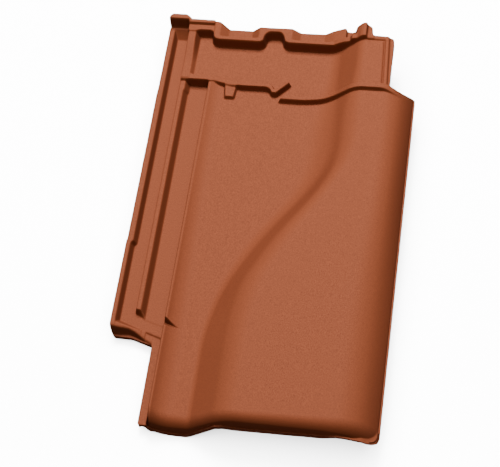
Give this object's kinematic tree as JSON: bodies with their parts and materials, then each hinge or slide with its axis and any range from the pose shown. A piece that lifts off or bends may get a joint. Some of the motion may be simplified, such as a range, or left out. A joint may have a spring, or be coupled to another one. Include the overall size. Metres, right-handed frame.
{
  "type": "clay roof tile",
  "caption": "Interlocking clay roof tile with a swept roll, a double side lock, a double head lock, a cover flap and hanging lugs.",
  "frame": {"origin": "centre of the bounding box's base, on the level floor that the tile lies on", "axes": "+Y up the roof from the foot to the head, +X from the side lock to the cover flap, +Z out of the roof"},
  "size_m": [0.268, 0.452, 0.0583],
  "materials": {
    "fired_clay": "matt natural red fired clay"
  },
  "bodies": {
    "root": {"roof_tile": "fired_clay"}
  },
  "joints": []
}
